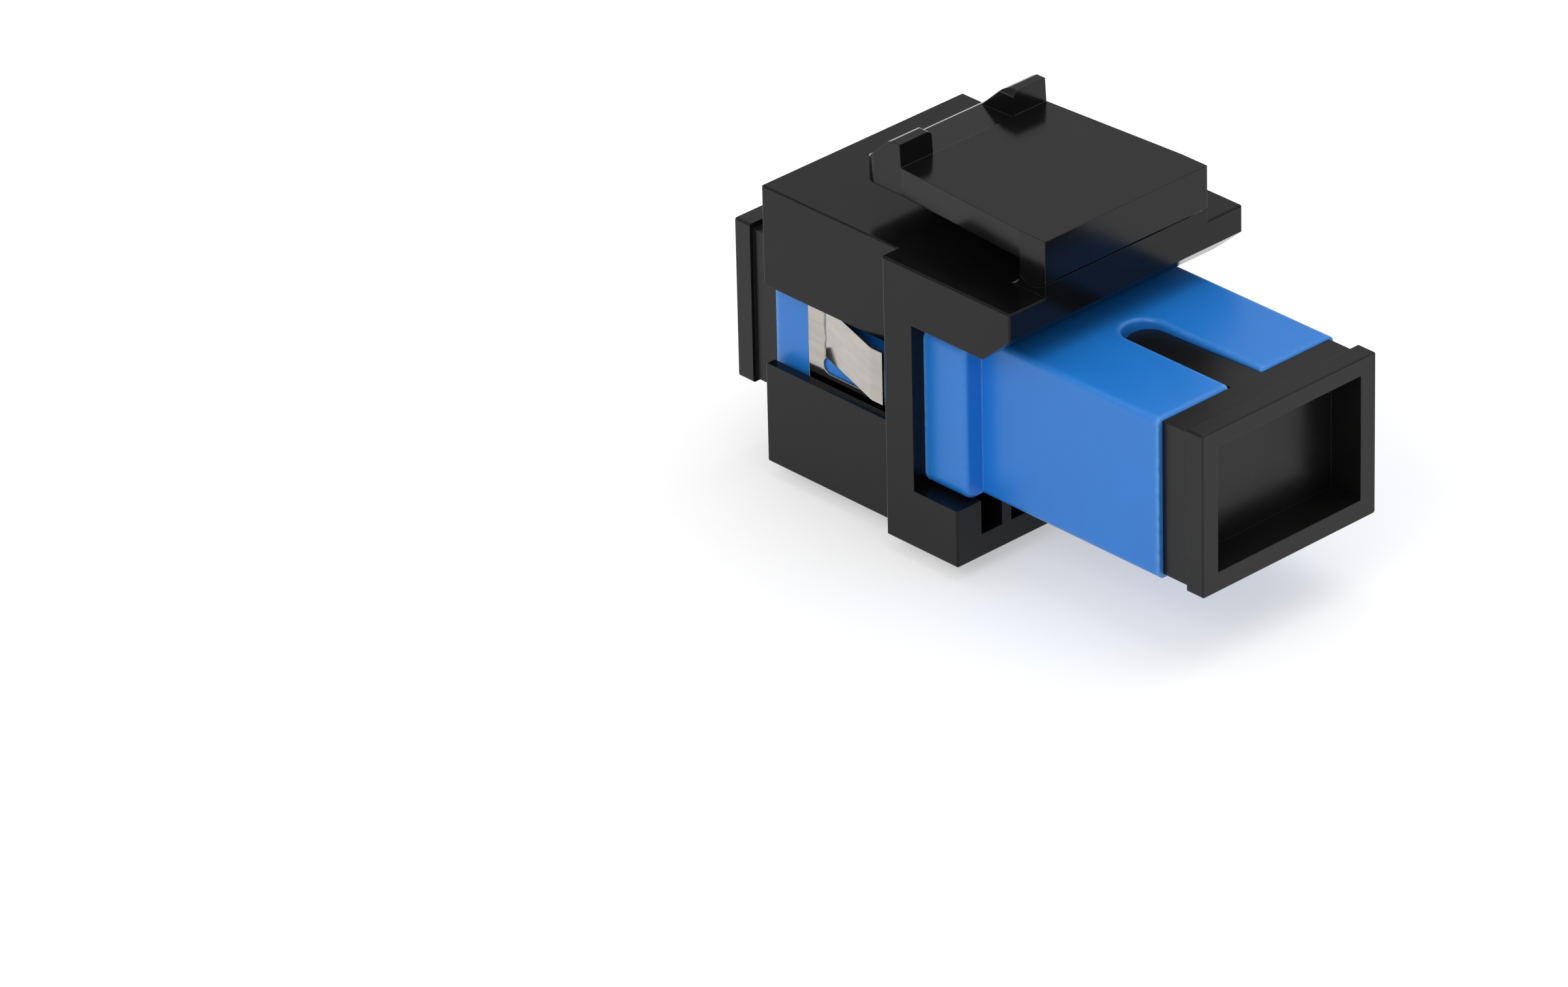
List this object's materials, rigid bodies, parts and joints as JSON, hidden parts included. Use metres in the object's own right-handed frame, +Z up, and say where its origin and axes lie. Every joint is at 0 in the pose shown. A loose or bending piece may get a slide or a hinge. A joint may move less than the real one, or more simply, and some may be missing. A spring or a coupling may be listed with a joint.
{
  "type": "fibre optic adapter",
  "caption": "Keystone fibre adapter: square-port housing with a split sleeve, held by a metal spring clip in a snap-in panel frame, with dust caps on both ports.",
  "frame": {"origin": "on the optical axis, halfway along the split sleeve where the two ferrules meet", "axes": "+X to the right seen from the room side, +Y along the optical axis towards the cable side, +Z up towards the latch lever"},
  "size_m": [0.017, 0.0344, 0.0219],
  "materials": {
    "black_moulding": "satin black moulding",
    "blue_moulding": "satin blue moulding",
    "insert_moulding": "natural moulding",
    "zirconia": "ground white ceramic",
    "clip_steel": "rolled spring steel",
    "cap_moulding": "soft satin black moulding"
  },
  "bodies": {
    "adapter": {"keystone_frame": "black_moulding", "front_housing": "blue_moulding", "rear_housing": "blue_moulding", "front_latch_insert": "insert_moulding", "rear_latch_insert": "insert_moulding", "alignment_sleeve": "zirconia", "spring_clip": "clip_steel"},
    "lever": {"latch_lever": "black_moulding"},
    "front_cap": {"front_dust_cap": "cap_moulding"},
    "rear_cap": {"rear_dust_cap": "cap_moulding"}
  },
  "joints": [
    {"name": "lever_flex", "type": "hinge", "parent": "adapter", "child": "lever", "pos_m": [0, 0.00462, 0.01001], "axis": [1, 0, 0], "range_deg": [0, 6.5], "stiffness_Nm_per_rad": 0.4},
    {"name": "front_cap_slide", "type": "slide", "parent": "adapter", "child": "front_cap", "axis": [0, -1, 0], "range_m": [0, 0.035]},
    {"name": "rear_cap_slide", "type": "slide", "parent": "adapter", "child": "rear_cap", "axis": [0, 1, 0], "range_m": [0, 0.035]}
  ]
}
